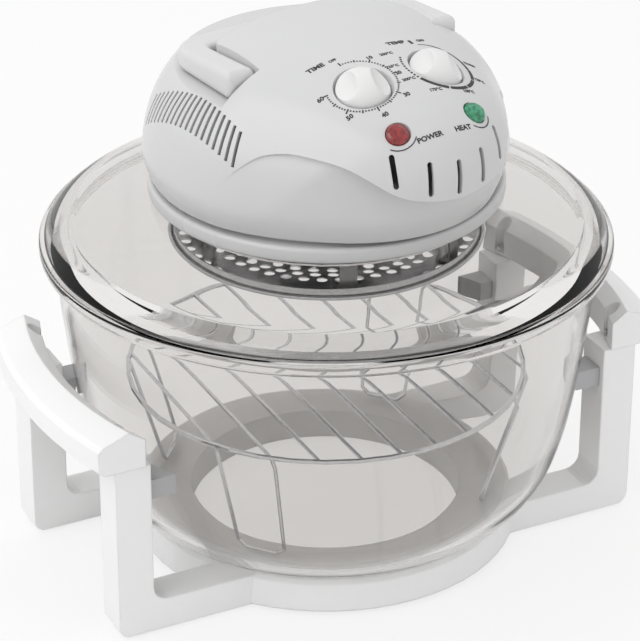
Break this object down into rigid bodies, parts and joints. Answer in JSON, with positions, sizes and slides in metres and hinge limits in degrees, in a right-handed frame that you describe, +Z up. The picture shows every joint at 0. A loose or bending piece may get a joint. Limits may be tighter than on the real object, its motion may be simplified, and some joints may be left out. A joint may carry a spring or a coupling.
{
  "type": "halogen oven",
  "caption": "Countertop halogen oven: a glass bowl in a white stand with hand grips, a wire rack, and a lift-off glass lid with a domed head, dials, lamps, fan and folding handle.",
  "frame": {"origin": "on the table under the middle of the bowl", "axes": "+Z up, +X through the right grip, -Y towards the front of the head, which rests turned 7 degrees about +Z"},
  "size_m": [0.382, 0.336, 0.326],
  "materials": {
    "white_plastic": "glossy white",
    "stand_plastic": "satin white",
    "tinted_glass": "clear, slightly smoky",
    "chrome": "bright",
    "steel": "plain",
    "motor_steel": "dull",
    "rubber": "matt",
    "pad_rubber": "matt",
    "ceramic": "unglazed ceramic",
    "quartz": "clear quartz",
    "red_lens": "translucent red",
    "green_lens": "translucent green",
    "black_plastic": "matt"
  },
  "bodies": {
    "stand": {"stand_base": "stand_plastic", "left_grip": "stand_plastic", "right_grip": "stand_plastic", "foot_1": "rubber", "foot_2": "rubber", "foot_3": "rubber", "foot_4": "rubber", "bowl_pad_1": "pad_rubber", "bowl_pad_2": "pad_rubber", "bowl_pad_3": "pad_rubber", "bowl_pad_4": "pad_rubber", "grip_screw_1": "steel", "grip_screw_2": "steel", "grip_screw_3": "steel", "grip_screw_4": "steel"},
    "bowl": {"glass_bowl": "tinted_glass"},
    "rack": {"wire_rack": "chrome"},
    "lid": {"glass_lid": "tinted_glass", "head_disc": "white_plastic", "head_housing": "white_plastic", "hinge_pin_left": "steel", "hinge_pin_right": "steel", "safety_switch": "black_plastic", "timer_body": "steel", "thermostat_body": "steel", "power_lamp": "red_lens", "heat_lamp": "green_lens", "motor": "motor_steel", "heat_shield": "chrome", "halogen_tube": "quartz", "tube_holder_left": "ceramic", "tube_holder_right": "ceramic", "guard_plate": "chrome", "guard_bracket_1": "steel", "guard_bracket_2": "steel", "guard_bracket_3": "steel", "guard_bracket_4": "steel", "cable_gland": "black_plastic"},
    "folding_handle": {"carry_handle": "white_plastic"},
    "timer_dial": {"timer_knob": "white_plastic"},
    "thermostat_dial": {"thermostat_knob": "white_plastic"},
    "fan": {"motor_shaft": "steel", "cooling_fan": "white_plastic", "convection_fan": "steel"},
    "plunger": {"switch_plunger": "black_plastic"}
  },
  "joints": [
    {"name": "bowl_lift", "type": "slide", "parent": "stand", "child": "bowl", "axis": [0, 0, 1], "range_m": [0, 0.2]},
    {"name": "lid_lift", "type": "slide", "parent": "bowl", "child": "lid", "axis": [0, 0, 1], "range_m": [0, 0.3]},
    {"name": "rack_lift", "type": "slide", "parent": "bowl", "child": "rack", "axis": [0, 0, 1], "range_m": [0, 0.18]},
    {"name": "handle_hinge", "type": "hinge", "parent": "lid", "child": "folding_handle", "pos_m": [0.00134, -0.01092, 0.3084], "axis": [0.9925, 0.1219, 0], "range_deg": [0, 85]},
    {"name": "timer_turn", "type": "hinge", "parent": "lid", "child": "timer_dial", "pos_m": [-0.01584, -0.07449, 0.3167], "axis": [0.1171, 0.2836, -0.9518], "range_deg": [0, 270]},
    {"name": "thermostat_turn", "type": "hinge", "parent": "lid", "child": "thermostat_dial", "pos_m": [0.03339, -0.06844, 0.3167], "axis": [-0.1822, 0.2469, -0.9518], "range_deg": [0, 290]},
    {"name": "fan_spin", "type": "hinge", "parent": "lid", "child": "fan", "pos_m": [0, 0, 0.26], "axis": [0, 0, 1], "continuous": true},
    {"name": "plunger_rise", "type": "slide", "parent": "lid", "child": "plunger", "axis": [0, 0, 1], "range_m": [0, 0.002]}
  ],
  "couplings": [
    {"joint": "rack_lift", "follows": "lid_lift", "ratio": 0.6},
    {"joint": "plunger_rise", "follows": "handle_hinge", "m_per_rad": 0.001347}
  ]
}
